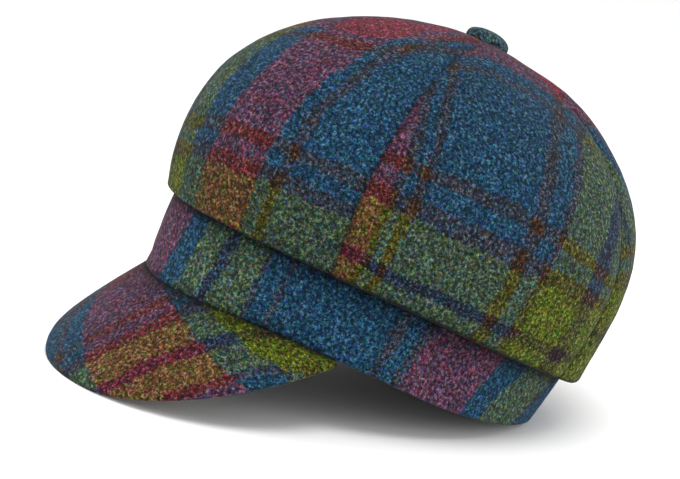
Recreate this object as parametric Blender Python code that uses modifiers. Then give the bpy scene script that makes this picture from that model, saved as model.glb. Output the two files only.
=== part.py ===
"""A baker boy cap of soft checked wool, resting by itself on a table.

The pieces are drawn about the wearer's head. X runs to the wearer's left, the front faces -Y, and Z is
the head's axis, measured up from the lower edge of the band. One empty carries them all and leans them
back, so that the tip of the peak and the back of the band both touch the table at Z = 0.
A turn is the angle about the head's axis, from the middle of the front towards the wearer's left.
"""
import math

import bpy
from mathutils import Vector

# Sizes that every piece shares
GAP = 0.0003                    # room between neighbouring pieces
TABLE_PRESS = 0.0020            # how far the cloth flattens where it rests

# Band around the head
HEAD_FRONT_LENGTH = 0.1000      # inner face, middle to front
HEAD_BACK_LENGTH = 0.1025       # inner face, middle to back
HEAD_HALF_WIDTH = 0.0825        # inner face, middle to side
BAND_THICKNESS = 0.0025
BAND_HEIGHT = 0.0400
BAND_FRONT_DIP = 0.0082         # the lower edge sags over the middle of the peak
DIP_SHARPNESS = 3.8             # power of the cosine that shapes the sag
BAND_BACK_RISE = 0.0100         # the lower edge rises behind
BAND_FLARE_FRONT = 0.0040       # how far the top leans outwards
BAND_FLARE_BACK = 0.0103
BAND_BOW_FRONT = 0.0018         # the front swells out halfway up

# Crown of four panels
CROWN_THICKNESS = 0.0016
CROWN_HEM_DROP = 0.0049         # the hem hangs this far below the top of the band at the sides
HEM_SAG_FRONT = 0.0057          # and lower still in front and behind
HEM_SAG_BACK = 0.0015
HEM_FOLD_RADIUS = 0.0040        # outer radius where the hem turns under, where there is room
CROWN_SIDE_HEIGHT = 0.0349      # hem to the widest level, at the sides
CROWN_DOME_HEIGHT = 0.0916      # widest level to the top
CROWN_OVERHANG_FRONT = 0.0059   # hem beyond the top of the band
CROWN_OVERHANG_BACK = 0.0020
CROWN_OVERHANG_SIDE = 0.0130
CROWN_BELLY_FRONT = 0.0058      # how far the widest level stands out beyond the hem
CROWN_BELLY_BACK = 0.0004
CROWN_BELLY_SIDE = 0.0036
CROWN_SETBACK = 0.0013          # the crown's middle lies behind the band's
CROWN_TOP_LEAN = -0.0040        # the very top leans forwards
TOP_LEAN_POWER = 4.0            # a higher power keeps the lean nearer to the top
DOME_POWER_FRONT = 1.21         # the dome is fuller behind than in front: 1 is a quarter of an ellipse
DOME_POWER_BACK = 0.91
DOME_POWER_SIDE = 1.11
DOME_RISE_POWER = 0.963

# Seams between the panels, as turns at the hem and at the top
FRONT_SEAM_HEM = math.radians(52.5)
FRONT_SEAM_TOP = math.radians(47.5)
BACK_SEAM_HEM = math.radians(130.0)
BACK_SEAM_TOP = math.radians(134.0)
FAR_SEAM_HEM = math.tau - BACK_SEAM_HEM    # the back seam on the other side
FAR_SEAM_TOP = math.tau - BACK_SEAM_TOP
SEAM_DEPTH = 0.0016             # valley along each seam
SEAM_WIDTH = 0.0060

# Peak
PEAK_THICKNESS = 0.0040
PEAK_LENGTH = 0.0632            # at the middle of the front
PEAK_HALF_TURN = math.radians(67.2)
PEAK_END_SHARE = 0.985          # the ends are cut this near to their points
PEAK_WIDTH_POWER = 2.70         # outline of the edge, against the turn
PEAK_TAPER_POWER = 1.05
PEAK_MIDDLE_SLOPE = math.radians(66.4)
PEAK_END_SLOPE = math.radians(33.1)
PEAK_SLOPE_POWER = 2.46
PEAK_BOW = 0.0010               # slight doming between the band and the edge
PEAK_ROUNDING = 0.0013

# Covered button
BUTTON_RADIUS = 0.0108
BUTTON_HEIGHT = 0.0048
BUTTON_EDGE = 0.0012            # radius of the rim
SHANK_RADIUS = 0.0045
SHANK_LENGTH = 0.0030

# How finely the surfaces are divided
DOME_ROWS = 11
SIDE_ROWS = 4
FOLD_ROWS = 5
PANEL_COLUMNS = 22
COLUMN_CROWDING = 0.35          # columns lie closer together beside the seams
BAND_COLUMNS = 72
BAND_ROWS = 3
PEAK_COLUMNS = 34
PEAK_ROWS = 7
BUTTON_STEPS = 28

# Values that follow from the sizes
BAND_FRONT_LENGTH = HEAD_FRONT_LENGTH + BAND_THICKNESS
BAND_BACK_LENGTH = HEAD_BACK_LENGTH + BAND_THICKNESS
BAND_HALF_WIDTH = HEAD_HALF_WIDTH + BAND_THICKNESS
HEM_HEIGHT = BAND_HEIGHT - CROWN_HEM_DROP
WIDEST_HEIGHT = HEM_HEIGHT + CROWN_SIDE_HEIGHT
TOP_HEIGHT = WIDEST_HEIGHT + CROWN_DOME_HEIGHT
HEM_FRONT = BAND_FRONT_LENGTH + BAND_FLARE_FRONT + CROWN_OVERHANG_FRONT
HEM_BACK = BAND_BACK_LENGTH + BAND_FLARE_BACK + CROWN_OVERHANG_BACK
HEM_SIDE = BAND_HALF_WIDTH + CROWN_OVERHANG_SIDE
TOP_HOLE_RADIUS = SHANK_RADIUS + GAP

# Each panel runs from one seam to the next: (turn at the hem, turn at the top)
PANELS = (
    ("crown_panel_front", (-FRONT_SEAM_HEM, -FRONT_SEAM_TOP), (FRONT_SEAM_HEM, FRONT_SEAM_TOP)),
    ("crown_panel_left", (FRONT_SEAM_HEM, FRONT_SEAM_TOP), (BACK_SEAM_HEM, BACK_SEAM_TOP)),
    ("crown_panel_back", (BACK_SEAM_HEM, BACK_SEAM_TOP), (FAR_SEAM_HEM, FAR_SEAM_TOP)),
    ("crown_panel_right", (-BACK_SEAM_HEM, -BACK_SEAM_TOP), (-FRONT_SEAM_HEM, -FRONT_SEAM_TOP)),
)

# Colour of each piece's wool, linear red, green and blue
WOOL = {
    "crown_panel_front": (0.10, 0.07, 0.13),
    "crown_panel_left": (0.05, 0.08, 0.13),
    "crown_panel_back": (0.08, 0.10, 0.07),
    "crown_panel_right": (0.06, 0.08, 0.11),
    "band": (0.04, 0.06, 0.10),
    "peak": (0.16, 0.09, 0.06),
    "button": (0.02, 0.06, 0.07),
}


def clear_scene():
    """Start from an empty scene."""
    for thing in list(bpy.data.objects):
        bpy.data.objects.remove(thing, do_unlink=True)


def oval(turn, front, back, side):
    """A level oval around the head, longer or shorter in front than behind."""
    length = front if math.cos(turn) > 0 else back
    return Vector((side * math.sin(turn), -length * math.cos(turn), 0.0))


def around(turn, front, side, back):
    """A value that changes smoothly from the front to the sides and on to the back."""
    end = front if math.cos(turn) > 0 else back
    return side + (end - side) * math.cos(turn) ** 2


def band_face(turn, height):
    """Outer face of the band, as far out as it lies at this height."""
    share = height / BAND_HEIGHT
    bow = BAND_BOW_FRONT * 4.0 * share * (1.0 - share)
    lean = around(turn, BAND_FLARE_FRONT * share + bow, 0.0, BAND_FLARE_BACK * share)
    return oval(turn, BAND_FRONT_LENGTH + lean, BAND_BACK_LENGTH + lean, BAND_HALF_WIDTH)


def band_low_edge(turn):
    """Height of the band's lower edge, which sags in front and rises behind."""
    sag = BAND_FRONT_DIP * max(math.cos(turn), 0.0) ** DIP_SHARPNESS
    return around(turn, 0.0, 0.0, BAND_BACK_RISE) - sag


def hem_height(turn):
    """Height of the crown's lower edge, which hangs lowest in front."""
    return HEM_HEIGHT - around(turn, HEM_SAG_FRONT, 0.0, HEM_SAG_BACK)


def crown_oval(turn, belly_share):
    """Outline of the crown, from its hem (share 0) to its widest level (share 1)."""
    out = oval(turn, HEM_FRONT, HEM_BACK, HEM_SIDE)
    belly = around(turn, CROWN_BELLY_FRONT, CROWN_BELLY_SIDE, CROWN_BELLY_BACK)
    return out + out.normalized() * belly * belly_share


def dome_power(turn):
    """How the dome draws in towards its top."""
    return around(turn, DOME_POWER_FRONT, DOME_POWER_SIDE, DOME_POWER_BACK)


def grid_object(name, rows, joined, shared):
    """An open surface through rows of points, with its faces turned outwards."""
    columns = len(rows[0])
    points = [point for row in rows for point in row]
    faces = []
    for i in range(len(rows) - 1):
        for j in range(columns if joined else columns - 1):
            k = (j + 1) % columns
            faces.append((i * columns + j, (i + 1) * columns + j, (i + 1) * columns + k, i * columns + k))
    mesh = bpy.data.meshes.new(name)
    mesh.from_pydata(points, [], faces)
    mesh.shade_smooth()
    return add_piece(name, mesh, shared)


def add_piece(name, mesh, shared):
    """Name a piece, carry it on the cap's empty and give it its wool."""
    piece = bpy.data.objects.new(name, mesh)
    shared["collection"].objects.link(piece)
    piece.parent = shared["frame"]
    wool = bpy.data.materials.new(name + "_wool")
    wool.use_nodes = True
    shader = wool.node_tree.nodes["Principled BSDF"]
    shader.inputs["Base Color"].default_value = (*WOOL[name], 1.0)
    shader.inputs["Roughness"].default_value = 0.95
    shader.inputs["Metallic"].default_value = 0.0
    mesh.materials.append(wool)
    return piece


def thicken(piece, thickness):
    """Give an open surface its cloth, on the inner side."""
    cloth = piece.modifiers.new("Cloth", "SOLIDIFY")
    cloth.thickness = thickness
    cloth.offset = -1.0
    cloth.use_even_offset = True
    return cloth


def seam_valley(distance, radius):
    """How far the cloth sinks near a seam. The valley fades out under the button."""
    fade = min(1.0, max(0.0, (radius - BUTTON_RADIUS) / (2.0 * BUTTON_RADIUS)))
    return SEAM_DEPTH * fade * math.exp(-(distance / SEAM_WIDTH) ** 2)


def dome_point(turn, angle, valley):
    """A point between the top (angle 0) and the widest level (a quarter turn)."""
    rise = math.cos(angle) ** DOME_RISE_POWER if angle < math.pi / 2 else 0.0
    out = crown_oval(turn, 1.0)
    point = out * math.sin(angle) ** dome_power(turn)
    point.z = WIDEST_HEIGHT + CROWN_DOME_HEIGHT * rise
    point.y += CROWN_TOP_LEAN * rise ** TOP_LEAN_POWER
    normal = out.normalized() * math.sin(angle) + Vector((0.0, 0.0, math.cos(angle)))
    return point - normal * valley


def side_point(turn, share, valley):
    """A point between the widest level (share 0) and the start of the fold (share 1)."""
    out = crown_oval(turn, 1.0 - share ** 2)
    point = out - out.normalized() * valley
    point.z = WIDEST_HEIGHT - share * (WIDEST_HEIGHT - hem_height(turn) - fold_radius(turn, valley))
    return point


def hem_room(turn, valley):
    """The face of the band beside the hem, and the level way from there out to the hem."""
    inner = band_face(turn, hem_height(turn) + HEM_FOLD_RADIUS)
    outer = crown_oval(turn, 0.0)
    outer -= outer.normalized() * valley
    outer.y += CROWN_SETBACK
    return inner, outer - inner


def fold_radius(turn, valley):
    """Outer radius of the hem's fold, kept inside the room beside the band."""
    inner, out = hem_room(turn, valley)
    return min(HEM_FOLD_RADIUS, 0.45 * out.length)


def fold_points(turn, valley):
    """The hem turns under and a short lip runs in to the face of the band."""
    inner, out = hem_room(turn, valley)
    radius = fold_radius(turn, valley)
    middle = out.length - radius
    reach = middle - GAP
    last_angle = math.pi - math.acos(min(1.0, radius / reach))
    points = []
    for step in range(1, FOLD_ROWS + 1):
        angle = last_angle * step / FOLD_ROWS
        point = inner + out.normalized() * (middle + radius * math.cos(angle))
        point.z = hem_height(turn) + radius * (1.0 - math.sin(angle))
        points.append(point)
    lip = inner + out.normalized() * GAP
    lip.z = hem_height(turn) + radius
    points.append(lip)
    for point in points:
        point.y -= CROWN_SETBACK
    return points


def seam_turn(seam, share):
    """Turn of a seam, from the top (share 0) to the hem (share 1)."""
    return seam[1] + (seam[0] - seam[1]) * min(share, 1.0)


def hole_angle(turn):
    """Where the dome starts, round the hole that the button's shank fills."""
    return math.asin((TOP_HOLE_RADIUS / crown_oval(turn, 1.0).length) ** (1.0 / dome_power(turn)))


def panel_column(first, last, column):
    """One line of points down a panel, from the button to the lip of the hem."""
    share = column / PANEL_COLUMNS
    across = share - COLUMN_CROWDING * math.sin(math.tau * share) / math.tau
    start_angle = hole_angle(first[1] + (last[1] - first[1]) * across)
    edge = {0: 0.5, PANEL_COLUMNS: -0.5}.get(column, 0.0) * GAP
    points = []

    def place(share, radius):
        begin = seam_turn(first, share)
        end = seam_turn(last, share)
        turn = begin + (end - begin) * across
        return turn, seam_valley(min(turn - begin, end - turn) * radius, radius)

    for i in range(DOME_ROWS + 1):
        angle = start_angle + (math.pi / 2 - start_angle) * i / DOME_ROWS
        share = 0.7 * angle / (math.pi / 2)
        turn, valley = place(share, HEM_SIDE * math.sin(angle))
        points.append((turn, dome_point(turn, angle, valley)))
    for i in range(1, SIDE_ROWS + 1):
        down = i / SIDE_ROWS
        turn, valley = place(0.7 + 0.3 * down, HEM_SIDE)
        points.append((turn, side_point(turn, down, valley)))
    turn, valley = place(1.0, HEM_SIDE)
    points.extend((turn, point) for point in fold_points(turn, valley))
    return [point + Vector((math.cos(turn), math.sin(turn), 0.0)) * edge for turn, point in points]


def make_panel(name, first, last, shared):
    """One of the crown's panels, with its hem folded under."""
    columns = [panel_column(first, last, column) for column in range(PANEL_COLUMNS + 1)]
    rows = [list(row) for row in zip(*columns)]
    panel = grid_object(name, rows, False, shared)
    panel.location = (0.0, CROWN_SETBACK, 0.0)
    thicken(panel, CROWN_THICKNESS)
    return panel


def make_band(shared):
    """The upright band that goes round the head."""
    rows = []
    for i in range(BAND_ROWS + 1):
        share = i / BAND_ROWS
        row = []
        for j in range(BAND_COLUMNS):
            turn = math.tau * j / BAND_COLUMNS
            height = BAND_HEIGHT + (band_low_edge(turn) - BAND_HEIGHT) * share
            point = band_face(turn, max(height, 0.0))
            point.z = height
            row.append(point)
        rows.append(row)
    band = grid_object("band", rows, True, shared)
    thicken(band, BAND_THICKNESS)
    return band


def peak_point(turn, share):
    """Upper face of the peak, from the band (share 0) to its edge (share 1)."""
    out = min(abs(turn) / PEAK_HALF_TURN, 1.0)
    length = PEAK_LENGTH * (1.0 - out ** PEAK_WIDTH_POWER) ** PEAK_TAPER_POWER
    slope = PEAK_MIDDLE_SLOPE + (PEAK_END_SLOPE - PEAK_MIDDLE_SLOPE) * out ** PEAK_SLOPE_POWER
    root = band_face(turn, 0.0)
    level = Vector((math.sin(turn) * BAND_FRONT_LENGTH, -math.cos(turn) * BAND_HALF_WIDTH, 0.0)).normalized()
    bow = PEAK_BOW * length / PEAK_LENGTH * math.sin(math.pi * share)
    along = level * math.cos(slope) - Vector((0.0, 0.0, math.sin(slope)))
    above = level * math.sin(slope) + Vector((0.0, 0.0, math.cos(slope)))
    point = root - level * GAP + along * length * share + above * bow
    point.z += band_low_edge(turn) - GAP
    return point


def make_peak(shared):
    """The stiff peak, hung from the lower edge of the band."""
    reach = PEAK_HALF_TURN * PEAK_END_SHARE
    turns = [reach * (2.0 * j / PEAK_COLUMNS - 1.0) for j in range(PEAK_COLUMNS + 1)]
    rows = [[peak_point(turn, i / PEAK_ROWS) for turn in turns] for i in range(PEAK_ROWS + 1)]
    peak = grid_object("peak", rows, False, shared)
    thicken(peak, PEAK_THICKNESS)
    rounding = peak.modifiers.new("Rounding", "BEVEL")
    rounding.width = PEAK_ROUNDING
    rounding.segments = 2
    rounding.limit_method = "ANGLE"
    rounding.angle_limit = math.radians(50.0)
    return peak


def crown_drop(radius):
    """How far the top of the crown has sunk at this distance behind its middle, where it is flattest."""
    angle = math.asin((radius / crown_oval(math.pi, 1.0).length) ** (1.0 / DOME_POWER_BACK))
    return CROWN_DOME_HEIGHT * (1.0 - math.cos(angle) ** DOME_RISE_POWER)


def make_button(shared):
    """A domed covered button. Its shank fills the hole where the panels meet."""
    rim_height = -crown_drop(BUTTON_RADIUS) + GAP + BUTTON_EDGE
    dome = BUTTON_HEIGHT - rim_height
    profile = []
    for step in range(9):
        angle = math.pi / 2 * step / 8
        profile.append((BUTTON_RADIUS * math.sin(angle), rim_height + dome * math.cos(angle)))
    for step in range(1, 4):
        angle = math.pi / 2 * step / 3
        out = BUTTON_RADIUS - BUTTON_EDGE * (1.0 - math.cos(angle))
        profile.append((out, rim_height - BUTTON_EDGE * math.sin(angle)))
    profile.append((SHANK_RADIUS, GAP))
    profile.append((SHANK_RADIUS, -SHANK_LENGTH))
    profile.append((0.0, -SHANK_LENGTH))
    mesh = bpy.data.meshes.new("button")
    mesh.from_pydata([(x, 0.0, z) for x, z in profile], [(i, i + 1) for i in range(len(profile) - 1)], [])
    button = add_piece("button", mesh, shared)
    button.location = (0.0, CROWN_SETBACK + CROWN_TOP_LEAN, TOP_HEIGHT)
    turned = button.modifiers.new("Turned", "SCREW")
    turned.steps = BUTTON_STEPS
    turned.render_steps = BUTTON_STEPS
    turned.use_merge_vertices = True
    turned.merge_threshold = 0.00005
    turned.use_smooth_shade = True
    return button


def keep_modifiers(piece):
    """Turn a piece's modifiers into its mesh, so that its points can be moved."""
    graph = bpy.context.evaluated_depsgraph_get()
    mesh = bpy.data.meshes.new_from_object(piece.evaluated_get(graph))
    piece.modifiers.clear()
    piece.data = mesh


def lowest(piece):
    """Lowest point of a piece, in the world."""
    return min((piece.matrix_world @ vertex.co).z for vertex in piece.data.vertices)


def lean_back(frame, band, peak):
    """Tilt the cap until the tip of the peak and the back of the band are level."""
    tip = min(peak.data.vertices, key=lambda vertex: vertex.co.z + abs(vertex.co.x)).co
    heel = max(band.data.vertices, key=lambda vertex: vertex.co.y - vertex.co.z).co
    frame.rotation_euler = (-math.atan2(heel.z - tip.z, heel.y - tip.y), 0.0, 0.0)
    bpy.context.view_layer.update()
    frame.location.z = -TABLE_PRESS - min(lowest(band), lowest(peak))
    bpy.context.view_layer.update()


def press_flat(piece):
    """Cloth that would sink below the table lies flat on it."""
    back = piece.matrix_world.inverted()
    for vertex in piece.data.vertices:
        place = piece.matrix_world @ vertex.co
        if place.z < 0.0:
            place.z = 0.0
            vertex.co = back @ place


def centre_over_origin(frame, pieces):
    """Put the middle of the cap's plan over the origin."""
    graph = bpy.context.evaluated_depsgraph_get()
    corners = []
    for piece in pieces:
        shape = piece.evaluated_get(graph)
        corners.extend(piece.matrix_world @ vertex.co for vertex in shape.data.vertices)
    frame.location.y -= (min(c.y for c in corners) + max(c.y for c in corners)) / 2.0
    bpy.context.view_layer.update()


def main():
    """Build the cap and lay it on the table."""
    clear_scene()
    collection = bpy.data.collections.new("baker_boy_cap")
    bpy.context.scene.collection.children.link(collection)
    frame = bpy.data.objects.new("head_frame", None)
    collection.objects.link(frame)
    shared = {"collection": collection, "frame": frame}

    panels = [make_panel(name, first, last, shared) for name, first, last in PANELS]
    band = make_band(shared)
    peak = make_peak(shared)
    button = make_button(shared)

    bpy.context.view_layer.update()
    keep_modifiers(band)
    keep_modifiers(peak)
    lean_back(frame, band, peak)
    press_flat(band)
    press_flat(peak)
    centre_over_origin(frame, panels + [band, peak, button])


main()
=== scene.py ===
"""Looks of a baker boy cap in soft checked wool: four crown panels, a band, a peak and a covered button.

Shapes are drawn about the wearer's head, in metres: X to the wearer's left, the front towards -Y, Z up from
the lower edge of the band. The cap then leans back onto the floor. A turn is the angle about the head's
axis, from the middle of the front towards the wearer's left.
"""
import math

import bpy
import numpy as np
from mathutils import Matrix, Vector, noise


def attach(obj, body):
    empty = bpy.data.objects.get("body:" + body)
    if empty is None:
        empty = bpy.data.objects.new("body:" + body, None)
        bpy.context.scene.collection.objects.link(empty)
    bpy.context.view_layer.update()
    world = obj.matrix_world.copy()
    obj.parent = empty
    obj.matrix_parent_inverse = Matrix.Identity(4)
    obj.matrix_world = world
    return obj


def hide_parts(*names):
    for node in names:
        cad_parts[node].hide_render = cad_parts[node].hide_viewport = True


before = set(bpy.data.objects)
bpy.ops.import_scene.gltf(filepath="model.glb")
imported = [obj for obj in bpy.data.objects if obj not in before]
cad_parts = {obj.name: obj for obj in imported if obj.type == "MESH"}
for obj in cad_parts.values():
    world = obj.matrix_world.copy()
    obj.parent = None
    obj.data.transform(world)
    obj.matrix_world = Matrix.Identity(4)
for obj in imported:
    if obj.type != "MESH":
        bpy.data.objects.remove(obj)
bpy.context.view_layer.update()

# How the cap leans back on the floor
HEAD_LEAN = math.radians(-18.568)
HEAD_PLACE = Vector((0.0, 0.00119, 0.02282))
HEAD = Matrix.Translation(HEAD_PLACE) @ Matrix.Rotation(HEAD_LEAN, 4, "X")

# Sizes of the solids, which the cloth follows. The dome, hem, peak and button are filled out a little.
GAP = 0.0003
BAND_FRONT_LENGTH = 0.1025
BAND_BACK_LENGTH = 0.1050
BAND_HALF_WIDTH = 0.0850
BAND_THICKNESS = 0.0025
BAND_HEIGHT = 0.0400
BAND_FRONT_DIP = 0.0082
DIP_SHARPNESS = 3.8
BAND_BACK_RISE = 0.0100
BAND_FLARE_FRONT = 0.0040
BAND_FLARE_BACK = 0.0103
BAND_BOW_FRONT = 0.0018
CROWN_THICKNESS = 0.0016
CROWN_SIDE_HEIGHT = 0.0349
CROWN_DOME_HEIGHT = 0.0916
CROWN_BELLY_FRONT = 0.0066
CROWN_BELLY_BACK = 0.0004
CROWN_BELLY_SIDE = 0.0036
CROWN_SETBACK = 0.0013
CROWN_TOP_LEAN = -0.0040
TOP_LEAN_POWER = 20.0
TOP_SINK_POWER = 30.0
TOP_SINK = 0.0012               # the cloth is drawn in under the button
DOME_POWER_FRONT = 1.21
DOME_POWER_BACK = 0.845
DOME_POWER_SIDE = 1.11
DOME_RISE_POWER = 0.963
HEM_HEIGHT = 0.0351
HEM_SAG_FRONT = 0.0057
HEM_SAG_BACK = 0.0015
HEM_FOLD_RADIUS = 0.0040
HEM_FRONT = 0.1116
HEM_BACK = 0.1173
HEM_SIDE = 0.0980
SEAM_DEPTH = 0.0016
SEAM_WIDTH = 0.0060
PEAK_THICKNESS = 0.0040
PEAK_LENGTH = 0.0632
PEAK_HALF_TURN = math.radians(67.2)
PEAK_END_SHARE = 0.985
PEAK_WIDTH_POWER = 2.55
PEAK_TAPER_POWER = 1.05
PEAK_MIDDLE_SLOPE = math.radians(66.4)
PEAK_END_SLOPE = math.radians(33.1)
PEAK_SLOPE_POWER = 2.46
PEAK_BOW = 0.0010
BUTTON_RADIUS = 0.0108
BUTTON_HEIGHT = 0.0058
BUTTON_SINK = 0.0010            # the rim is pulled down into the nap
BUTTON_FULLNESS = 0.72          # under 1 is fuller than an ellipse
SHANK_RADIUS = 0.0045
SHANK_LENGTH = 0.0030
WIDEST_HEIGHT = HEM_HEIGHT + CROWN_SIDE_HEIGHT
TOP_HEIGHT = WIDEST_HEIGHT + CROWN_DOME_HEIGHT
TOP_HOLE_RADIUS = SHANK_RADIUS + GAP

# Root of the peak that is sewn in under the band
PEAK_FLANGE = 0.0022
PEAK_TUCK = 0.0007              # the band's edge is pressed onto the peak by this much

# Seams between the panels, as turns (at the hem, at the top)
FRONT_SEAM = np.radians((52.5, 47.5))
BACK_SEAM = np.radians((130.0, 134.0))

# Levels down a panel run 0 to 1 over the dome, 1 to 2 down the side and 2 to 3 round the hem
FOLD_END = 0.7                  # share of the hem's level that turns under, before the lip
FOLD_ROOM = 0.45                # most of the room beside the band that the fold's radius takes
DOME_SEAM_SHARE = 0.7           # share of a seam's sideways run that lies on the dome
DOME_RUN = 0.155                # length of cloth down the dome
HEM_RUN = 0.006                 # length of cloth round the hem

# Low relief that only the cloth has
SEAM_GAP = 0.000004             # the panels' edges meet, under the nap
CREASE_DEPTH = 0.0007           # the edges of two panels turn in along their seam
CREASE_WIDTH = 0.0018
PUCKER_HEIGHT = 0.00020         # small ripples beside the seams
PUCKER_PITCH = 0.0085
PUCKER_REACH = 0.0090
PUCKER_CLEAR = 0.015            # no ripples this near the middle of the top
PUCKER_FADE = 0.030
PUCKER_DRIFT = 3.0              # how far the ripples drift between two seams, in radians
VALLEY_FADE = 2.0               # button radii over which the valleys deepen
BAND_EVEN_SHARE = 0.25          # share of the band's height, from its edge, where it is pressed even
PEAK_SMOOTHNESS = 0.6           # the peak's unevenness against the rest of the cloth's
BUTTON_EDGE = 0.0012            # radius of the button's rim
BUTTON_GATHERS = 11.0
BUTTON_GATHER_DEPTH = 0.00025
BUTTON_GATHER_TURN = 0.6
LUMPS = ((0.034, 0.0008), (0.012, 0.00022), (0.0045, 0.00008))   # (size, height) of soft unevenness
BUTTON_LUMPS = ((0.006, 0.0003),)

# Run of the stripes: the peak is cut on a slant, and the band's stripes lean more towards its ends
PEAK_BIAS = math.radians(24.0)
BAND_SLANT = 0.04
BAND_SLANT_GROWTH = 0.45
BAND_SLANT_MIDDLE = 0.085
BAND_SLANT_REACH = 0.105
BAND_SLANT_HEIGHT = 0.015
BAND_SLANT_MOST = 0.60

# Painted shade: the colour is darkened in recesses, where the nap is in the dark
HEM_SHADE_REACH = 0.0045        # on the band, below the hem
ROOT_SHADE_REACH = 0.0022       # on the band, above the peak
PEAK_SHADE_REACH = 0.0045       # on the peak, before the band
FOLD_SHADE_FROM = 2.08          # level at which the fold of the hem starts to be painted darker
FOLD_SHADE_RUN = 0.26
SIDE_SHADE_RUN = 0.7            # levels below the widest one over which a side is painted darker
SEAM_SHADE = 0.40
# how far the painted shade darkens the colour, at its darkest
PAINTED_SHADE_DARKNESS = 0.94

# How the front panel's cloth is eased towards its left seam near the top, and drops towards its right
FRONT_EASE = 2.4
FRONT_EASE_FROM = -0.020
FRONT_LEAN = 0.08
FRONT_LEAN_FROM = -0.025
FRONT_DROP = 0.12
FRONT_DROP_FROM = -0.035
LEFT_EASE = 0.014
EASE_LENGTH = 0.100

# Spacing of the points on the outer faces, and how many there are
CLOTH_STEP = 0.0010
HEM_ROWS = 17
BAND_COLUMNS = 520
BAND_ROWS = 34
BAND_EDGE_ROWS = 9
PEAK_COLUMNS = 200
PEAK_ROWS = 70
PEAK_CROWDING = 1.6             # the peak's rows crowd towards its edge
PEAK_END_FADE = 0.08            # turn over which the band's pressed edge fades out
BUTTON_COLUMNS = 96
BUTTON_DOME_ROWS = 18
BUTTON_EDGE_ROWS = 6
OUTLINE_SAMPLES = 4000          # points along a curve whose length is measured
DOME_SAMPLES = 2000


def oval(turn, front, back, side):
    """A level oval around the head, longer or shorter in front than behind."""
    length = np.where(np.cos(turn) > 0.0, front, back)
    return np.stack([side * np.sin(turn), -length * np.cos(turn), 0.0 * turn], axis=-1)


def unit(vectors):
    """The same directions, one metre long."""
    return vectors / np.maximum(np.linalg.norm(vectors, axis=-1, keepdims=True), 1e-9)


def soft_noise(points, size):
    """Smooth noise between -1 and 1 in lumps of this size."""
    flat = points.reshape(-1, 3) / size
    return np.array([noise.noise(point) for point in flat.tolist()]).reshape(points.shape[:-1])


def lumps(points, table=LUMPS):
    """Unevenness of soft cloth, in metres."""
    return sum(height * soft_noise(points + 7.0 * size, size) for size, height in table)


def grid_normals(points):
    """Directions square to a grid of points."""
    return unit(np.cross(np.gradient(points, axis=0), np.gradient(points, axis=1)))


def around(turn, front, side, back):
    """A value that changes smoothly from the front to the sides and on to the back."""
    end = np.where(np.cos(turn) > 0.0, front, back)
    return side + (end - side) * np.cos(turn) ** 2


def band_face(turn, height):
    """Outer face of the band, as far out as it lies at this height."""
    share = height / BAND_HEIGHT
    bow = BAND_BOW_FRONT * 4.0 * share * (1.0 - share)
    lean = around(turn, BAND_FLARE_FRONT * share + bow, 0.0, BAND_FLARE_BACK * share)
    return oval(turn, BAND_FRONT_LENGTH + lean, BAND_BACK_LENGTH + lean, BAND_HALF_WIDTH)


def band_low_edge(turn):
    """Height of the band's lower edge, which sags in front and rises behind."""
    sag = BAND_FRONT_DIP * np.maximum(np.cos(turn), 0.0) ** DIP_SHARPNESS
    return around(turn, 0.0, 0.0, BAND_BACK_RISE) - sag


def hem_height(turn):
    """Height of the crown's lower edge, which hangs lowest in front."""
    return HEM_HEIGHT - around(turn, HEM_SAG_FRONT, 0.0, HEM_SAG_BACK)


def crown_oval(turn, belly_share):
    """Outline of the crown, from its hem (share 0) to its widest level (share 1)."""
    out = oval(turn, HEM_FRONT, HEM_BACK, HEM_SIDE)
    belly = around(turn, CROWN_BELLY_FRONT, CROWN_BELLY_SIDE, CROWN_BELLY_BACK)
    return out + unit(out) * (belly * belly_share)[..., None]


def dome_power(turn):
    """How the dome draws in towards its top."""
    return around(turn, DOME_POWER_FRONT, DOME_POWER_SIDE, DOME_POWER_BACK)


def seam_turn(seam, share):
    """Turn of a seam, from the top (share 0) to the hem (share 1)."""
    return seam[1] + (seam[0] - seam[1]) * np.minimum(share, 1.0)


def seam_valley(distance, radius):
    """How far the cloth sinks near a seam. The valley fades out under the button."""
    fade = np.clip((radius - BUTTON_RADIUS) / (VALLEY_FADE * BUTTON_RADIUS), 0.0, 1.0)
    broad = SEAM_DEPTH * np.exp(-((distance / SEAM_WIDTH) ** 2))
    crease = CREASE_DEPTH * np.exp(-((distance / CREASE_WIDTH) ** 2))
    return fade * broad, fade * crease


def crown_face(turn, level, valley):
    """A point of the crown at this turn and level."""
    angle = np.minimum(level, 1.0) * math.pi / 2.0
    rise = np.maximum(np.cos(angle), 0.0) ** DOME_RISE_POWER
    side = np.clip(level - 1.0, 0.0, 1.0)
    out = crown_oval(turn, 1.0 - side ** 2)
    point = out * (np.sin(angle) ** dome_power(turn))[..., None]
    below = WIDEST_HEIGHT - hem_height(turn) - fold_radius(turn, valley)
    point[..., 2] = WIDEST_HEIGHT + CROWN_DOME_HEIGHT * rise - side * below
    point[..., 1] += CROWN_TOP_LEAN * rise ** TOP_LEAN_POWER
    point[..., 2] -= TOP_SINK * rise ** TOP_SINK_POWER
    normal = unit(out) * np.sin(angle)[..., None]
    normal[..., 2] += np.cos(angle)
    point -= normal * valley[..., None]
    fold = fold_point(turn, np.clip(level - 2.0, 0.0, 1.0), valley)
    return np.where((level > 2.0)[..., None], fold, point)


def hem_room(turn, valley):
    """The face of the band beside the hem, and the level way from there out to the hem."""
    inner = band_face(turn, hem_height(turn) + HEM_FOLD_RADIUS)
    outer = crown_oval(turn, 0.0 * turn)
    outer -= unit(outer) * valley[..., None]
    outer[..., 1] += CROWN_SETBACK
    return inner, outer - inner


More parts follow.
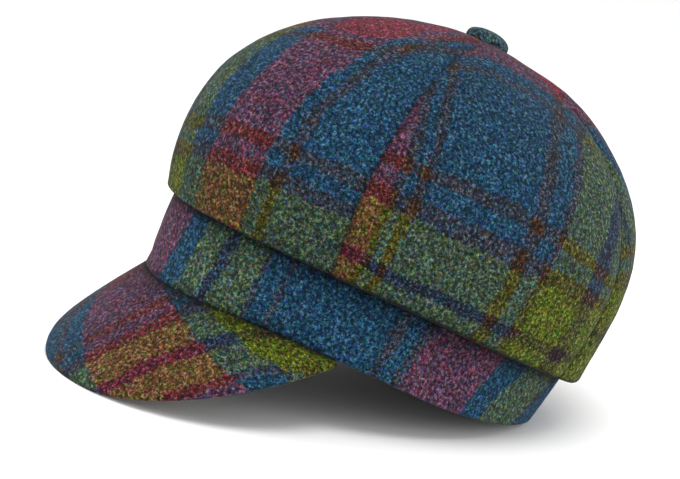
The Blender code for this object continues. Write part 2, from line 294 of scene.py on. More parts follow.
def fold_radius(turn, valley):
    """Outer radius of the hem's fold, kept inside the room beside the band."""
    way = np.linalg.norm(hem_room(turn, valley)[1], axis=-1)
    return np.minimum(HEM_FOLD_RADIUS, FOLD_ROOM * way)


def fold_point(turn, share, valley):
    """The hem turns under, as far as FOLD_END, and from there a short lip runs in to the band."""
    inner, way = hem_room(turn, valley)
    reach = np.linalg.norm(way, axis=-1)
    radius = fold_radius(turn, valley)
    middle = reach - radius
    last_angle = math.pi - np.arccos(np.minimum(1.0, radius / (middle - GAP)))
    angle = last_angle * np.minimum(share / FOLD_END, 1.0)
    out = middle + radius * np.cos(angle)
    height = hem_height(turn) + radius * (1.0 - np.sin(angle))
    lip = np.clip((share - FOLD_END) / (1.0 - FOLD_END), 0.0, 1.0)
    out = out + (GAP - out) * lip
    height = height + (hem_height(turn) + radius - height) * lip
    point = inner + unit(way) * out[..., None]
    point[..., 2] = height
    point[..., 1] -= CROWN_SETBACK
    return point


def arc_along(turn, grain, outline):
    """Distance along an outline from the grain's turn, in metres."""
    turns = np.linspace(-math.pi, 2.0 * math.pi, OUTLINE_SAMPLES)
    steps = np.linalg.norm(np.diff(outline(turns), axis=0), axis=-1)
    length = np.concatenate([[0.0], np.cumsum(steps)])
    return np.interp(turn, turns, length) - np.interp(grain, turns, length)


def crown_cloth(turn, level, grain):
    """Place of a point of the crown on its flat cut: across the grain line, and down from the top."""
    angle = np.minimum(level, 1.0) * math.pi / 2.0
    spread = np.sin(angle) ** dome_power(turn)
    rise = np.maximum(np.cos(angle), 0.0) ** DOME_RISE_POWER
    radius = float(np.linalg.norm(crown_oval(np.array(grain), np.array(1.0))))
    across = arc_along(turn, grain, lambda turns: crown_oval(turns, np.ones_like(turns)))
    x = spread * np.sin(across / radius)
    y = spread * np.cos(across / radius)
    size = np.sqrt(x * x + y * y + rise * rise)
    sweep = np.linspace(0.0, math.pi / 2.0, DOME_SAMPLES)
    wide = np.sin(sweep) ** dome_power(np.array(grain))
    high = np.cos(sweep) ** DOME_RISE_POWER
    steps = np.hypot(np.diff(wide * radius), np.diff(high * CROWN_DOME_HEIGHT))
    length = np.concatenate([[0.0], np.cumsum(steps)])
    down = np.interp(np.arctan2(y, rise), np.arctan2(wide, high), length)
    below = np.clip(level - 1.0, 0.0, 1.0) * (WIDEST_HEIGHT - hem_height(turn))
    below = below + np.maximum(level - 2.0, 0.0) * HEM_RUN
    u = np.where(level > 1.0, across, np.arcsin(np.clip(x / size, -1.0, 1.0)) * radius)
    v = np.where(level > 1.0, length[-1] + below, down)
    return u, v


def crown_levels(turns):
    """Levels of the rows of points, from the hole under the button to the lip of the hem."""
    widest = np.linalg.norm(crown_oval(turns, np.ones_like(turns)), axis=-1)
    start = np.arcsin((TOP_HOLE_RADIUS / widest) ** (1.0 / dome_power(turns))) / (math.pi / 2.0)
    dome = np.linspace(0.0, 1.0, 2 * round(DOME_RUN / CLOTH_STEP / 2) + 1)
    side = np.linspace(1.0, 2.0, 2 * round(CROWN_SIDE_HEIGHT / CLOTH_STEP / 2) + 1)
    fold = np.linspace(2.0, 3.0, HEM_ROWS)
    below = np.concatenate([side[1:], fold[1:]])
    return np.concatenate([start + (1.0 - start) * dome[:, None], below[:, None] + 0.0 * turns])


def move_to_world(points):
    """Lean the points back with the cap, and press what would sink flat onto the floor."""
    turned = points @ np.array(HEAD.to_3x3()).T + np.array(HEAD.translation)
    turned[..., 2] = np.maximum(turned[..., 2], 0.0)
    return turned


def mesh_piece(name, points, faces, cloth, node, material):
    """A finished piece from its points, faces and places on the cloth."""
    mesh = bpy.data.meshes.new(name)
    mesh.from_pydata(move_to_world(points).tolist(), [], faces)
    mesh.shade_smooth()
    # the place on the cut, with painted shade as the third value
    place = mesh.attributes.new("cloth", "FLOAT_VECTOR", "POINT")
    place.data.foreach_set("vector", cloth.astype(np.float32).ravel())
    piece = bpy.data.objects.new(name, mesh)
    bpy.context.scene.collection.objects.link(piece)
    mesh.materials.append(material)
    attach(piece, "root")
    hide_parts(node)
    return piece


def grid_faces(rows, columns, start=0, turned=False):
    """Faces of a grid of points that is numbered row by row."""
    faces = []
    for i in range(rows - 1):
        for j in range(columns - 1):
            first = start + i * columns + j
            face = (first, first + columns, first + columns + 1, first + 1)
            faces.append(face[::-1] if turned else face)
    return faces


def strip_faces(fine, coarse):
    """Faces between two borders, where the fine one has two edges for each edge of the coarse one."""
    faces = []
    for i in range(len(coarse) - 1):
        faces.append((fine[2 * i], fine[2 * i + 1], coarse[i]))
        faces.append((fine[2 * i + 1], coarse[i + 1], coarse[i]))
        faces.append((fine[2 * i + 1], fine[2 * i + 2], coarse[i + 1]))
    return faces


def cloth_wall(outer, inner):
    """Points and faces of a wall whose inner face has half as many rows and columns as its outer one,
    and how many of the faces come before those of its cut edges."""
    rows, columns = outer.shape[:2]
    inner = inner[::2, ::2]
    inner_rows, inner_columns = inner.shape[:2]
    start = rows * columns
    faces = grid_faces(rows, columns)
    faces += grid_faces(inner_rows, inner_columns, start, turned=True)
    broad_faces = len(faces)
    fine = np.arange(start).reshape(rows, columns)
    coarse = start + np.arange(inner_rows * inner_columns).reshape(inner_rows, inner_columns)
    border = [
        (fine[0, ::-1], coarse[0, ::-1]),
        (fine[:, 0], coarse[:, 0]),
        (fine[-1, :], coarse[-1, :]),
        (fine[::-1, -1], coarse[::-1, -1]),
    ]
    for fine_side, coarse_side in border:
        faces += [tuple(int(corner) for corner in face[::-1]) for face in strip_faces(fine_side, coarse_side)]
    return np.concatenate([outer.reshape(-1, 3), inner.reshape(-1, 3)]), faces, broad_faces


def make_panel(side, first, last, grain, ease, side_shade, material):
    """One of the crown's panels, with its seams turned in and its hem folded under."""
    width = (last[0] - first[0]) * (HEM_FRONT + HEM_SIDE) / 2.0
    across = np.linspace(0.0, 1.0, 2 * round(width / CLOTH_STEP / 2) + 1)
    level = crown_levels(first[1] + (last[1] - first[1]) * across)
    across = np.broadcast_to(across, level.shape)
    share = DOME_SEAM_SHARE * np.minimum(level, 1.0)
    share = np.minimum(share + (1.0 - DOME_SEAM_SHARE) * np.clip(level - 1.0, 0.0, 1.0), 1.0)
    begin = seam_turn(first, share)
    end = seam_turn(last, share)
    turn = begin + (end - begin) * across
    radius = HEM_SIDE * np.sin(np.minimum(level, 1.0) * math.pi / 2.0)
    distance = np.minimum(turn - begin, end - turn) * radius
    broad, crease = seam_valley(distance, radius)
    base = crown_face(turn, level, broad)
    gap = 0.5 * SEAM_GAP * ((across == 0.0) * 1.0 - (across == 1.0) * 1.0)
    base += np.stack([np.cos(turn), np.sin(turn), 0.0 * turn], axis=-1) * gap[..., None]
    normals = grid_normals(crown_face(turn, level, 0.0 * broad))
    hem = np.clip(3.0 - level, 0.0, 1.0)
    ripple = np.exp(-distance / PUCKER_REACH) * np.clip((radius - PUCKER_CLEAR) / PUCKER_FADE, 0.0, 1.0)
    phase = math.tau * level * DOME_RUN / PUCKER_PITCH + PUCKER_DRIFT * np.sin(math.pi * across)
    relief = (lumps(base) + PUCKER_HEIGHT * ripple * np.sin(phase)) * hem - crease * hem
    outer = base + normals * relief[..., None]
    inner = base - normals * CROWN_THICKNESS
    outer[..., 1] += CROWN_SETBACK
    inner[..., 1] += CROWN_SETBACK
    u, v = crown_cloth(turn, level, grain)
    u, v = ease(u, v)
    # Painted shade: darker round the hem's fold, in the seams' creases and low down the front panel's side
    shade = np.clip((level - FOLD_SHADE_FROM) / FOLD_SHADE_RUN, 0.0, 1.0)
    shade = np.maximum(shade, SEAM_SHADE * crease / CREASE_DEPTH)
    shade = np.maximum(shade, side_shade * np.clip((level - 1.0) / SIDE_SHADE_RUN, 0.0, 1.0))
    cloth = np.stack([u, v, shade], axis=-1)
    lining = np.stack([u, v, 0.0 * u], axis=-1)
    points, faces, broad_faces = cloth_wall(outer, inner)
    cloth = np.concatenate([cloth.reshape(-1, 3), lining[::2, ::2].reshape(-1, 3)])
    name = side + "_panel_cloth"
    piece = mesh_piece(name, points, faces, cloth, "crown_panel_" + side, material)
    for face in piece.data.polygons[broad_faces:]:
        face.use_smooth = False
    return piece


def tube_piece(name, sections, cloth, node, material, capped):
    """A closed body through rings of points. Without caps the last ring meets the first."""
    rings, around = sections.shape[:2]
    points = sections.reshape(-1, 3)
    faces = []
    for i in range(rings - 1 if capped else rings):
        k = (i + 1) % rings
        for j in range(around):
            m = (j + 1) % around
            faces.append((i * around + j, i * around + m, k * around + m, k * around + j))
    if capped:
        faces.append(tuple(range(around))[::-1])
        faces.append(tuple((rings - 1) * around + j for j in range(around)))
    return mesh_piece(name, points, faces, cloth.reshape(-1, 3), node, material)


def make_band(material):
    """The upright band: cloth folded double along its lower edge."""
    half = BAND_THICKNESS / 2.0
    turns = np.linspace(0.0, math.tau, BAND_COLUMNS, endpoint=False)
    sweep = np.linspace(0.0, math.pi, BAND_EDGE_ROWS)
    straight = np.linspace(1.0, 0.0, BAND_ROWS)
    outer_side = [(1.0, share) for share in straight]
    low_round = [(math.cos(angle), -math.sin(angle)) for angle in sweep[1:-1]]
    inner_side = [(-1.0, share) for share in straight[::-1]]
    section = outer_side + low_round + inner_side
    share = np.array([max(low, 0.0) for _, low in section])
    below = np.array([min(low, 0.0) for _, low in section])
    side = np.array([out for out, _ in section])
    turn, share = np.meshgrid(turns, share, indexing="ij")
    signed_turn = (turn + math.pi) % math.tau - math.pi
    beside_peak = np.clip((PEAK_HALF_TURN - np.abs(signed_turn)) / PEAK_END_FADE, 0.0, 1.0)
    low = band_low_edge(turn) + half - PEAK_TUCK * beside_peak
    height = low + (BAND_HEIGHT - low) * share
    face = band_face(turn, np.maximum(height, 0.0))
    outwards = unit(face)
    middle = face - outwards * half
    middle[..., 2] = height + below[None, :] * half
    points = middle + outwards * (side * half)[None, :, None]
    relief = lumps(points) * np.clip(share / BAND_EVEN_SHARE, 0.0, 1.0)
    points += outwards * (relief * (side > 0)[None, :])[..., None]
    u = arc_along(signed_turn, 0.0, lambda turns: band_face(turns, 0.0 * turns))
    slant = BAND_SLANT + BAND_SLANT_GROWTH * ((u - BAND_SLANT_MIDDLE) / BAND_SLANT_REACH) ** 2
    u = u - (points[..., 2] - BAND_SLANT_HEIGHT) * np.minimum(slant, BAND_SLANT_MOST)
    # Painted shade on the band: darker just below the hem and just above the peak's root
    shade_below_hem = np.exp(-np.maximum(hem_height(turn) - points[..., 2], 0.0) / HEM_SHADE_REACH)
    shade_above_peak = beside_peak * np.exp(-np.maximum(points[..., 2] - low + half, 0.0) / ROOT_SHADE_REACH)
    shade = np.maximum(shade_below_hem, shade_above_peak) * (side > -0.5)[None, :]
    cloth = np.stack([u, points[..., 2], shade], axis=-1)
    return tube_piece("band_cloth", points, cloth, "band", material, False)


def peak_face(turn, share):
    """Upper face of the peak, from its root (share -1) past the band's face (0) to its edge (1)."""
    out = np.minimum(np.abs(turn) / PEAK_HALF_TURN, 1.0)
    length = PEAK_LENGTH * (1.0 - out ** PEAK_WIDTH_POWER) ** PEAK_TAPER_POWER
    slope = PEAK_MIDDLE_SLOPE + (PEAK_END_SLOPE - PEAK_MIDDLE_SLOPE) * out ** PEAK_SLOPE_POWER
    root = band_face(turn, np.zeros_like(turn))
    ahead = [np.sin(turn) * BAND_FRONT_LENGTH, -np.cos(turn) * BAND_HALF_WIDTH, 0.0 * turn]
    level = unit(np.stack(ahead, axis=-1))
    bow = PEAK_BOW * length / PEAK_LENGTH * np.sin(math.pi * np.maximum(share, 0.0))
    upright = np.array((0.0, 0.0, 1.0))
    along = level * np.cos(slope)[..., None] - upright * np.sin(slope)[..., None]
    above = level * np.sin(slope)[..., None] + upright * np.cos(slope)[..., None]
    point = root - level * GAP + along * (length * np.maximum(share, 0.0))[..., None]
    point += above * bow[..., None]
    point += level * (PEAK_FLANGE * np.minimum(share, 0.0))[..., None]
    point[..., 2] += band_low_edge(turn) - GAP
    return point, length


def make_peak(material):
    """The stiff peak: cloth over a core, with a round edge."""
    half = PEAK_THICKNESS / 2.0
    reach = PEAK_HALF_TURN * PEAK_END_SHARE
    turns = reach * np.sin(np.linspace(-math.pi / 2.0, math.pi / 2.0, PEAK_COLUMNS))
    to_the_edge = 1.0 - (1.0 - np.linspace(0.0, 1.0, PEAK_ROWS)) ** PEAK_CROWDING
    share = np.concatenate([(-1.0, -0.5), to_the_edge])
    turn, share = np.meshgrid(turns, share, indexing="ij")
    face, length = peak_face(turn, share)
    normals = grid_normals(face)
    normals = np.where(normals[..., 2:] < 0.0, -normals, normals)
    middle = face - normals * half
    to_edge = (1.0 - share) * length
    to_end = (reach - np.abs(turn)) * BAND_FRONT_LENGTH
    near = np.minimum(np.minimum(to_edge, to_end) / half, 1.0)
    thick = half * np.sqrt(np.clip(1.0 - (1.0 - near) ** 2, 0.0, 1.0))
    relief = lumps(face) * PEAK_SMOOTHNESS * near
    upper = middle + normals * (thick + relief)[..., None]
    lower = middle - normals * thick[..., None]
    sections = np.concatenate([upper, lower[:, -2::-1]], axis=1)
    x, y = face[..., 0], share * length
    across = x * math.cos(PEAK_BIAS) + y * math.sin(PEAK_BIAS)
    down = y * math.cos(PEAK_BIAS) - x * math.sin(PEAK_BIAS)
    # The third value is painted shade, darkest at the peak's root under the band
    place = np.stack([across, down, np.exp(-np.maximum(y, 0.0) / PEAK_SHADE_REACH)], axis=-1)
    cloth = np.concatenate([place, place[:, -2::-1]], axis=1)
    return tube_piece("peak_cloth", sections, cloth, "peak", material, True)


def crown_drop(radius):
    """How far the top of the crown has sunk at this distance behind its middle, where it is flattest."""
    angle = math.asin((radius / (HEM_BACK + CROWN_BELLY_BACK)) ** (1.0 / DOME_POWER_BACK))
    return CROWN_DOME_HEIGHT * (1.0 - math.cos(angle) ** DOME_RISE_POWER)


def make_button(material):
    """A padded button whose cover is gathered under its rim."""
    rim = -crown_drop(BUTTON_RADIUS) - BUTTON_SINK
    dome_foot = rim + BUTTON_EDGE
    profile = []
    for step in range(1, BUTTON_DOME_ROWS + 1):
        angle = math.pi / 2.0 * step / BUTTON_DOME_ROWS
        dome = max(math.cos(angle), 0.0) ** BUTTON_FULLNESS
        profile.append((BUTTON_RADIUS * math.sin(angle), dome_foot + (BUTTON_HEIGHT - dome_foot) * dome))
    for step in range(1, BUTTON_EDGE_ROWS + 1):
        angle = math.pi / 2.0 * step / BUTTON_EDGE_ROWS
        inwards = BUTTON_EDGE * (1.0 - math.cos(angle))
        profile.append((BUTTON_RADIUS - inwards, dome_foot - BUTTON_EDGE * math.sin(angle)))
    profile += [(SHANK_RADIUS, rim), (SHANK_RADIUS, -SHANK_LENGTH)]
    turns = np.linspace(0.0, math.tau, BUTTON_COLUMNS, endpoint=False)
    radius = np.array([r for r, _ in profile])[:, None]
    height = np.array([z for _, z in profile])[:, None]
    points = np.stack([radius * np.sin(turns), -radius * np.cos(turns), height + 0.0 * turns], axis=-1)
    outer_third = np.clip(radius / BUTTON_RADIUS * 3.0 - 2.0, 0.0, 1.0)
    gather = BUTTON_GATHER_DEPTH * outer_third * np.sin(BUTTON_GATHERS * turns + BUTTON_GATHER_TURN)
    points += unit(points) * (gather + lumps(points, BUTTON_LUMPS))[..., None]
    cloth = points.copy()
    points += np.array((0.0, CROWN_SETBACK + CROWN_TOP_LEAN, TOP_HEIGHT - TOP_SINK))
    return tube_piece("button_cloth", points[::-1], cloth[::-1], "button", material, True)


# Yarns of the cloth, linear red, green and blue
YARNS = {
    "pink": (0.130, 0.015, 0.028),
    "blue": (0.007, 0.040, 0.080),
    "green": (0.070, 0.090, 0.003),
    "rust": (0.036, 0.014, 0.004),
    "brown": (0.016, 0.004, 0.008),
    "teal": (0.020, 0.046, 0.054),
}
FROST = (0.15, 0.17, 0.17)      # pale hairs all over the cloth

# Painted light: how much brighter each piece's wool is painted than the yarns, for the light that falls on it
PAINTED_LIGHT = {
    "front": 1.10,
    "left": 1.0,
    "back": 1.0,
    "right": 1.0,
    "band": 1.28,
    "peak": 1.12,
    "button": 1.3,
}

# Stripes on each piece's cut, as (yarn, where it ends in mm)
LEFT_ACROSS = (
    ("pink", -48.5), ("rust", -46.0), ("blue", -40.0), ("rust", -34.0), ("blue", 17.0), ("rust", 25.0),
    ("blue", 34.0), ("rust", 41.0), ("green", 69.0), ("brown", 80.0), ("green", 200.0),
)
LEFT_DOWN = (
    ("pink", 38.0), ("blue", 49.0), ("rust", 54.0), ("blue", 119.0), ("rust", 127.0), ("blue", 138.0),
    ("rust", 145.5), ("green", 172.5), ("brown", 181.0), ("green", 300.0),
)
FRONT_ACROSS = (
    ("green", -86.0), ("brown", -80.0), ("green", -59.5), ("blue", -43.5), ("pink", -9.0), ("blue", -1.0),
    ("rust", 4.5), ("blue", 200.0),
)
FRONT_DOWN = (
    ("green", 26.0), ("blue", 38.0), ("pink", 78.0), ("blue", 87.0), ("rust", 94.0), ("blue", 154.0),
    ("rust", 161.0), ("blue", 169.5), ("rust", 176.0), ("green", 300.0),
)
BACK_ACROSS = (
    ("green", -72.0), ("brown", -68.0), ("green", -53.0), ("blue", -38.0), ("pink", 3.0), ("rust", 6.0),
    ("blue", 15.0), ("rust", 20.0), ("blue", 70.0), ("rust", 73.0), ("blue", 82.0), ("green", 200.0),
)
RIGHT_ACROSS = (
    ("rust", -78.0), ("green", -61.0), ("brown", -57.0), ("green", -42.0), ("blue", -27.0), ("pink", 14.0),
    ("rust", 17.0), ("blue", 26.0), ("rust", 31.0), ("blue", 81.0), ("rust", 84.0), ("green", 200.0),
)
BAND_ROUND = (
    ("blue", -226.0), ("rust", -221.0), ("blue", -212.0), ("rust", -209.0), ("pink", -168.0),
    ("blue", -153.0), ("green", -138.0), ("brown", -134.0), ("green", -117.0), ("rust", -114.0),
    ("blue", -52.0), ("rust", -47.0), ("blue", -38.0), ("rust", -35.0),
    ("pink", 7.0), ("blue", 17.5), ("green", 33.0), ("brown", 37.0),
    ("green", 54.0), ("rust", 57.0), ("blue", 66.0), ("rust", 69.0), ("blue", 119.5), ("rust", 124.5),
    ("blue", 133.0), ("rust", 136.0), ("pink", 177.0), ("blue", 192.0), ("green", 224.0), ("rust", 228.0),
    ("blue", 310.0),
)
BAND_UP = (("blue", 300.0),)
PEAK_ACROSS = (
    ("pink", -36.0), ("blue", -27.0), ("rust", -21.0), ("blue", 15.5), ("rust", 20.0), ("blue", 28.5),
    ("rust", 35.5), ("green", 51.5), ("brown", 59.5), ("green", 77.0), ("rust", 80.0), ("blue", 200.0),
)
PEAK_DOWN = (
    ("green", -15.0), ("blue", -3.0), ("pink", 41.0), ("blue", 52.0), ("rust", 57.0), ("blue", 200.0),
)
BUTTON_PLAIN = (("teal", 300.0),)

STRIPES_FROM = -310.0           # the first and the last place that a table can name
STRIPES_TO = 310.0

# Weave, in mm. Each thread of one row of stripes is on top where the twill brings it up.
YARN_PITCH = 1.15               # from one yarn to the next
TWILL_REPEAT = 4.0              # yarns in a repeat
TWILL_FLOAT = 0.45              # share of a repeat with the crosswise stripes on top
TWILL_SHARES = (0.36, 0.64)     # how much of the crosswise stripes shows, with them below and on top

# Noises over a place in mm, as (scale, detail, roughness)
HAIR = (0.95, 2.0, 0.7)         # pale hairs
FLECK = (0.62, 3.0, 0.80)       # light and dark fibres
YARN_MIX = (1.00, 1.0, 0.6)     # which yarn's fibres lie on top
PATCH = (0.20, 2.0, 0.5)        # patches where one yarn prevails
CLOUD = (0.07, 3.0, 0.6)        # uneven dye
HEATHER = (0.50, 2.0, 0.6)      # fibres of other colours, spun in

# How places are moved about, as (scale of the noise, reach in mm)
SLACK = (0.06, 7.0)             # stripes that run a little crooked
FUZZ = (0.65, 8.5)              # ragged edges of the stripes
YARN_MIX_FUZZ = (0.30, 30.0)

# How much each noise does
YARN_MIX_SPREAD = 1.4
PATCH_SPREAD = 0.35
HEATHER_GAIN = (2.6, 2.0, 2.0)
HEATHER_BASE = (-0.3, 0.0, 0.0)
CLOUD_RANGE = (0.8, 1.5)
FLECK_CONTRAST = 14000.0        # base of the power that lightens and darkens the fibres
FLECK_MIDDLE = 0.56             # a fleck of this value stays as it is
FROST_FROM = 1.10               # sum of hair and fleck where the pale hairs begin
FROST_STRENGTH = 3.2

# Surface of the nap
NAP_ROUGHNESS = 0.95
NAP_SPECULAR = 0.12
NAP_SHEEN = 0.05
NAP_SHEEN_ROUGHNESS = 0.30
NAP_SHEEN_TINT = (0.90, 0.92, 0.95, 1.0)
NAP_DEPTH = 0.0007
HAIR_RELIEF = 0.8               # height of the hairs against the flecks'


class Shader:
    """A material's node tree, with short ways to add nodes to it."""

    def __init__(self, name):
        self.material = bpy.data.materials.new(name)
        self.material.use_nodes = True
        self.tree = self.material.node_tree
        self.surface = self.tree.nodes["Principled BSDF"]

    def feed(self, socket, value):
        """Link a socket, or give it a plain value."""
        if isinstance(value, bpy.types.NodeSocket):
            self.tree.links.new(value, socket)
        else:
            socket.default_value = value

    def add(self, kind, settings, **inputs):
        """A node of this kind, with its settings and inputs."""
        node = self.tree.nodes.new("ShaderNode" + kind)
        for setting, value in settings.items():
            setattr(node, setting, value)
        for socket, value in inputs.items():
            self.feed(node.inputs[socket.replace("_", " ")], value)
        return node

    def maths(self, operation, *values, clamp=False):
        """A sum, product or other plain calculation."""
        node = self.add("Math", {"operation": operation, "use_clamp": clamp})
        for socket, value in zip(node.inputs, values):
            self.feed(socket, value)
        return node.outputs[0]

    def mix(self, factor, first, second, blend="MIX"):
        """A mixture of two colours."""
        node = self.add("Mix", {"data_type": "RGBA", "blend_type": blend})
        self.feed(node.inputs[0], factor)
        self.feed(node.inputs[6], first)
        self.feed(node.inputs[7], second)
        return node.outputs[2]

    def noise(self, place, kind):
        """Noise about 0.5 over a place in mm: its grey value and its colour."""
        scale, detail, roughness = kind
        node = self.add("TexNoise", {}, Vector=place, Scale=scale, Detail=detail, Roughness=roughness)
        return node.outputs["Fac"], node.outputs["Color"]

    def drift(self, cloth, place, kind):
        """A place on the cloth in mm, moved about by noise over another place."""
        scale, reach = kind
        push = self.add("TexNoise", {}, Vector=place, Scale=scale, Detail=2.0).outputs["Color"]
        centred = self.add("VectorMath", {"operation": "SUBTRACT"}, Vector=push)
        centred.inputs[1].default_value = (0.5, 0.5, 0.5)
        push = self.add("VectorMath", {"operation": "SCALE"}, Vector=centred.outputs[0], Scale=reach)
        moved = self.add("VectorMath", {"operation": "ADD"}, Vector=cloth)
        self.feed(moved.inputs[1], push.outputs[0])
        return moved.outputs[0]

    def in_mm(self, place):
        """A place in metres, given in mm."""
        return self.add("VectorMath", {"operation": "SCALE"}, Vector=place, Scale=1000.0).outputs[0]

    def spread(self, value, low, high):
        """The value's range of 0 to 1 drawn out to low and high."""
        return self.maths("MULTIPLY_ADD", value, high - low, low)

    def stripes(self, place, table):
        """Colour of the yarn at this place in mm."""
        share = self.maths("DIVIDE", self.maths("SUBTRACT", place, STRIPES_FROM), STRIPES_TO - STRIPES_FROM)
        node = self.add("ValToRGB", {})
        node.color_ramp.interpolation = "CONSTANT"
        stops = node.color_ramp.elements
        stops.remove(stops[1])
        stops[0].color = (*YARNS[table[0][0]], 1.0)
        for (_, edge), (yarn, _) in zip(table[:-1], table[1:]):
            stop = stops.new((edge - STRIPES_FROM) / (STRIPES_TO - STRIPES_FROM))
            stop.color = (*YARNS[yarn], 1.0)
        self.feed(node.inputs[0], share)
        return node.outputs[0]


def wool(piece, across_table, down_table):
    """Felted wool twill whose yarns follow two tables of stripes, with painted shade darkening its recesses.
    """
    shader = Shader(piece + "_wool")
    painted_light = PAINTED_LIGHT[piece]
    lie = shader.add("Attribute", {"attribute_name": "cloth"}).outputs["Vector"]
    # the third value of the cloth attribute is painted shade
    painted_shade = shader.add("SeparateXYZ", {}, Vector=lie).outputs[2]
    place = shader.in_mm(shader.add("TexCoord", {}).outputs["Object"])
    moved = shader.drift(shader.drift(shader.in_mm(lie), place, SLACK), place, FUZZ)
    parts = shader.add("SeparateXYZ", {}, Vector=moved).outputs
    warp_yarn = shader.maths("FLOOR", shader.maths("DIVIDE", parts[0], YARN_PITCH))
    weft_yarn = shader.maths("FLOOR", shader.maths("DIVIDE", parts[1], YARN_PITCH))
    step = shader.maths("DIVIDE", shader.maths("ADD", warp_yarn, weft_yarn), TWILL_REPEAT)
    warp_on_top = shader.maths("LESS_THAN", shader.maths("FRACT", step), TWILL_FLOAT)
    warp_colour = shader.stripes(parts[0], across_table)
    weft_colour = shader.stripes(parts[1], down_table)

    hair, _ = shader.noise(place, HAIR)
    yarn_mix, _ = shader.noise(shader.drift(place, place, YARN_MIX_FUZZ), YARN_MIX)
    fleck, _ = shader.noise(place, FLECK)
    patch, _ = shader.noise(place, PATCH)
    cloud, _ = shader.noise(place, CLOUD)
    _, heather = shader.noise(place, HEATHER)

    twill = shader.spread(warp_on_top, *TWILL_SHARES)
    share = shader.maths("ADD", twill, shader.spread(patch, -PATCH_SPREAD, PATCH_SPREAD))
    yarn_mix = shader.spread(yarn_mix, -YARN_MIX_SPREAD, YARN_MIX_SPREAD)
    share = shader.maths("ADD", share, yarn_mix, clamp=True)
    colour = shader.mix(share, weft_colour, warp_colour)
    tint = shader.add("VectorMath", {"operation": "MULTIPLY_ADD"}, Vector=heather)
    tint.inputs[1].default_value = HEATHER_GAIN
    tint.inputs[2].default_value = HEATHER_BASE
    colour = shader.mix(1.0, colour, tint.outputs[0], "MULTIPLY")

    # Flecks of lighter and darker fibres and uneven dye, times each piece's painted light and the painted
    # shade of its recesses
    glint = shader.maths("POWER", FLECK_CONTRAST, shader.maths("SUBTRACT", fleck, FLECK_MIDDLE))
    dye_and_painted_light = shader.spread(cloud, CLOUD_RANGE[0] * painted_light, CLOUD_RANGE[1] * painted_light)
    light = shader.maths("MULTIPLY", glint, dye_and_painted_light)
    light = shader.maths("MULTIPLY", light, shader.spread(painted_shade, 1.0, 1.0 - PAINTED_SHADE_DARKNESS))
    bright = shader.add("CombineColor", {"mode": "RGB"}, Red=light, Green=light, Blue=light).outputs[0]
    colour = shader.mix(1.0, colour, bright, "MULTIPLY")
    frost = shader.maths("SUBTRACT", shader.maths("ADD", hair, fleck), FROST_FROM)
    frost = shader.maths("MULTIPLY", frost, FROST_STRENGTH, clamp=True)
    # no pale hairs show in the painted shade
    frost = shader.maths("MULTIPLY", frost, shader.spread(painted_shade, 1.0, 0.0))
    colour = shader.mix(frost, colour, (*FROST, 1.0))
    shader.feed(shader.surface.inputs["Base Color"], colour)
    shader.feed(shader.surface.inputs["Roughness"], NAP_ROUGHNESS)
    shader.feed(shader.surface.inputs["Specular IOR Level"], NAP_SPECULAR)
    shader.feed(shader.surface.inputs["Sheen Weight"], NAP_SHEEN)
    shader.feed(shader.surface.inputs["Sheen Roughness"], NAP_SHEEN_ROUGHNESS)
    shader.feed(shader.surface.inputs["Sheen Tint"], NAP_SHEEN_TINT)

    height = shader.maths("ADD", fleck, shader.maths("MULTIPLY", hair, HAIR_RELIEF))
    bump = shader.add("Bump", {}, Height=height, Strength=1.0, Distance=NAP_DEPTH)
    shader.feed(shader.surface.inputs["Normal"], bump.outputs[0])
    return shader.material


def ease_front(u, v):
    """The front panel's cloth is eased upwards towards its left seam near the top."""
    near_top = np.clip(1.0 - v / EASE_LENGTH, 0.0, 1.0)
    v = v + FRONT_EASE * np.maximum(u - FRONT_EASE_FROM, 0.0) * near_top
    return u, v + FRONT_LEAN * (u - FRONT_LEAN_FROM) - FRONT_DROP * np.maximum(FRONT_DROP_FROM - u, 0.0)


def ease_left(u, v):
    """The left panel's cloth leans a little near the top."""
    near_top = np.clip(1.0 - v / EASE_LENGTH, 0.0, 1.0)
    return u - LEFT_EASE * near_top ** 2, v


def as_cut(u, v):
    """Cloth that lies as it was cut."""
    return u, v


# Panels of the crown, as (side, first seam, last seam, turn of its grain, how it is eased, painted shade low
# down its side)
PANELS = (
    ("front", -1.0 * FRONT_SEAM, FRONT_SEAM, math.radians(30.0), ease_front, 0.20),
    ("left", FRONT_SEAM, BACK_SEAM, math.radians(81.0), ease_left, 0.0),
    ("back", BACK_SEAM, math.tau - BACK_SEAM, math.radians(180.0), as_cut, 0.0),
    ("right", -1.0 * BACK_SEAM, -1.0 * FRONT_SEAM, math.radians(-81.0), as_cut, 0.0),
)

# The camera, about the origin of the head, in metres
CAMERA_ACROSS = math.radians(58.630)    # round towards the wearer's left from straight ahead
CAMERA_ABOVE = math.radians(5.012)
CAMERA_ROLL = math.radians(27.648)
CAMERA_DISTANCE = 1.40
CAMERA_AIM_UP = 0.04870         # from the origin to the middle of the picture, in the picture's plane
CAMERA_AIM_RIGHT = 0.00170
CAMERA_LENS = 153.61            # mm, on a sensor 36 mm wide
CAMERA_SENSOR = 36.0
CAMERA_SIGHT = 100.0

# Lights, as (name, place, diameter, watts), and the place that they face
LIGHTS = (
    ("key", (0.6, -0.2, 1.6), 0.9, 15.0),
    ("front", (-0.6, -1.6, 0.6), 1.0, 8.0),
    ("side", (1.1, 1.1, 0.4), 0.8, 8.0),
)
LIGHTS_FACE = Vector((0.0, 0.0, 0.09))
FLOOR_RADIUS = 30.0
FLOOR_COLOUR = (0.90, 0.90, 0.90, 1.0)
FLOOR_ROUGHNESS = 0.9
SURROUND_COLOUR = (1.0, 1.0, 1.0, 1.0)
SURROUND_STRENGTH = 1.0


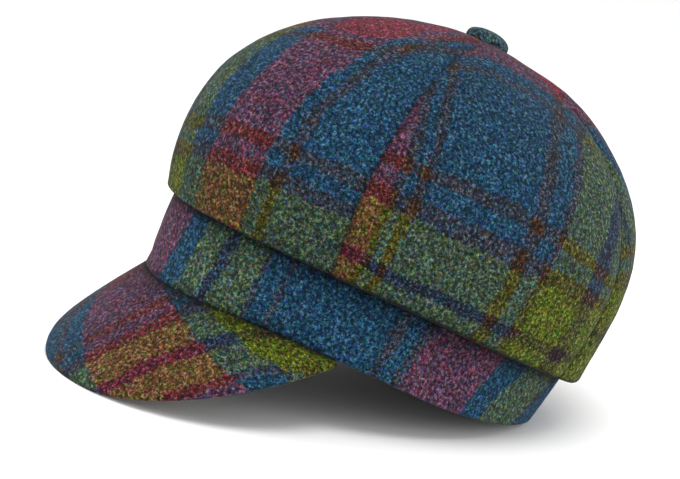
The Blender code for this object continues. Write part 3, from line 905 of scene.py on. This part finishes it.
def make_camera():
    """A camera at the photograph's angle to the cap."""
    across, above, roll = CAMERA_ACROSS, CAMERA_ABOVE, CAMERA_ROLL
    right = Vector((math.cos(across), math.sin(across), 0.0))
    up = Vector((-math.sin(across) * math.sin(above), math.cos(across) * math.sin(above), math.cos(above)))
    back = right.cross(up)
    image_right = math.cos(roll) * right + math.sin(roll) * up
    image_up = -math.sin(roll) * right + math.cos(roll) * up
    aim = image_up * CAMERA_AIM_UP + image_right * CAMERA_AIM_RIGHT
    place = back * CAMERA_DISTANCE
    look = (place - aim).normalized()
    side = image_up.cross(look).normalized()
    top = look.cross(side)
    turn = Matrix((side, top, look)).transposed().to_4x4()
    camera = bpy.data.objects.new("camera", bpy.data.cameras.new("camera"))
    camera.matrix_world = HEAD @ Matrix.Translation(place) @ turn
    camera.data.lens = CAMERA_LENS
    camera.data.sensor_width = CAMERA_SENSOR
    camera.data.clip_end = CAMERA_SIGHT
    bpy.context.scene.collection.objects.link(camera)
    bpy.context.scene.camera = camera


def make_light(name, place, size, power):
    """A large soft light that faces the cap."""
    light = bpy.data.lights.new(name, "AREA")
    light.shape = "DISK"
    light.size = size
    light.energy = power
    lamp = bpy.data.objects.new(name, light)
    lamp.location = place
    lamp.rotation_euler = (LIGHTS_FACE - lamp.location).to_track_quat("-Z", "Y").to_euler()
    bpy.context.scene.collection.objects.link(lamp)


def make_studio():
    """A pale floor, a white surround and soft lights."""
    bpy.ops.mesh.primitive_circle_add(vertices=64, radius=FLOOR_RADIUS, fill_type="NGON")
    floor = bpy.context.object
    floor.name = "floor"
    shader = Shader("floor_paper")
    shader.feed(shader.surface.inputs["Base Color"], FLOOR_COLOUR)
    shader.feed(shader.surface.inputs["Roughness"], FLOOR_ROUGHNESS)
    floor.data.materials.append(shader.material)
    world = bpy.data.worlds.new("surround")
    world.use_nodes = True
    background = world.node_tree.nodes["Background"]
    background.inputs["Color"].default_value = SURROUND_COLOUR
    background.inputs["Strength"].default_value = SURROUND_STRENGTH
    bpy.context.scene.world = world
    for name, place, size, power in LIGHTS:
        make_light(name, place, size, power)
    bpy.context.scene.view_settings.view_transform = "Standard"


def main():
    """Build the studio and the cap."""
    make_camera()
    make_studio()
    wools = (
        wool("front", FRONT_ACROSS, FRONT_DOWN),
        wool("left", LEFT_ACROSS, LEFT_DOWN),
        wool("back", BACK_ACROSS, LEFT_DOWN),
        wool("right", RIGHT_ACROSS, LEFT_DOWN),
    )
    for panel, material in zip(PANELS, wools):
        make_panel(*panel, material)
    make_band(wool("band", BAND_ROUND, BAND_UP))
    make_peak(wool("peak", PEAK_ACROSS, PEAK_DOWN))
    make_button(wool("button", BUTTON_PLAIN, BUTTON_PLAIN))


main()
